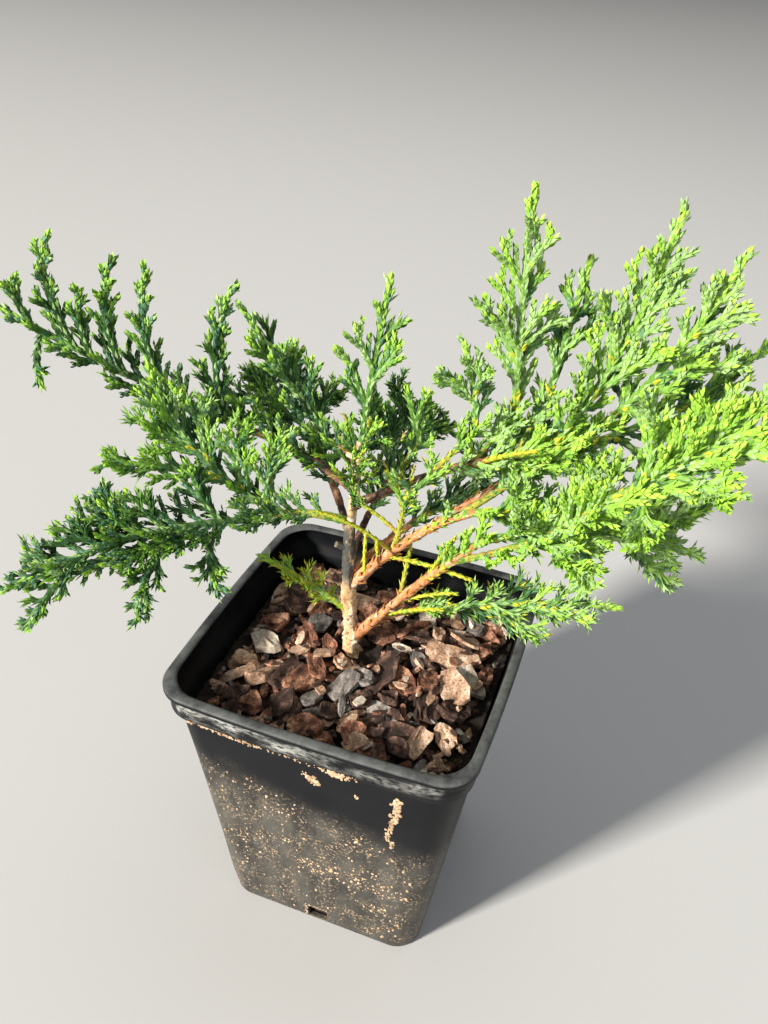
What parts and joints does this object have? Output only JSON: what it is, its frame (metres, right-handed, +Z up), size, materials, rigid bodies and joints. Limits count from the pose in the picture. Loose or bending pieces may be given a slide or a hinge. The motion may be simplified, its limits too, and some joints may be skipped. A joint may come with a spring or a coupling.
{
  "type": "potted conifer",
  "caption": "Young spreading conifer with fans of scale-leaf sprays, in a small square black nursery pot topped with bark chips.",
  "frame": {"origin": "centre of the pot's flat underside", "axes": "+Z up, the sides of the square pot along X and Y, the plant's long sides to -X and +X"},
  "size_m": [0.212, 0.1366, 0.222],
  "materials": {
    "pot_plastic": "black satin polypropylene, dusty, with dried soil specks",
    "potting_mix": "dark moist peat and bark mix",
    "bark_chips": "dry flaked pine bark, red-brown to grey",
    "trunk_bark": "pale flaking bark",
    "bough_bark": "orange-brown scaly bark",
    "foliage": "green scale leaves, satin"
  },
  "bodies": {
    "root": {"pot": "pot_plastic", "potting_soil": "potting_mix", "bark_mulch": "bark_chips", "trunk": "trunk_bark", "right_bough": "bough_bark", "low_right_bough": "bough_bark", "upper_right_bough": "bough_bark", "left_bough": "bough_bark", "upper_left_bough": "bough_bark", "top_left_bough": "bough_bark", "left_low_bough": "bough_bark", "near_right_bough": "bough_bark", "far_right_bough": "bough_bark", "right_spire_bough": "bough_bark", "inner_spire_bough": "bough_bark", "centre_right_bough": "bough_bark", "inner_right_bough": "bough_bark", "inner_shoot": "bough_bark", "back_right_bough": "bough_bark", "rim_bough": "bough_bark", "upright_shoot": "bough_bark", "back_left_bough": "bough_bark", "back_bough": "bough_bark", "back_right_low_bough": "bough_bark", "centre_spire": "foliage", "top_left_spire": "foliage", "upper_left_plume": "foliage", "left_fan_upper": "foliage", "left_fan_low": "foliage", "right_spire": "foliage", "right_inner_spire": "foliage", "right_tall_plume": "foliage", "far_right_plume": "foliage", "near_right_plume": "foliage", "front_right_spray": "foliage", "low_right_fan": "foliage", "rim_spray": "foliage", "back_right_plume": "foliage", "inner_right_spray": "foliage", "centre_right_sprig": "foliage", "inner_sprig": "foliage", "back_left_fan": "foliage", "back_fan": "foliage", "back_right_fan": "foliage", "low_left_sprig": "foliage"}
  },
  "joints": []
}
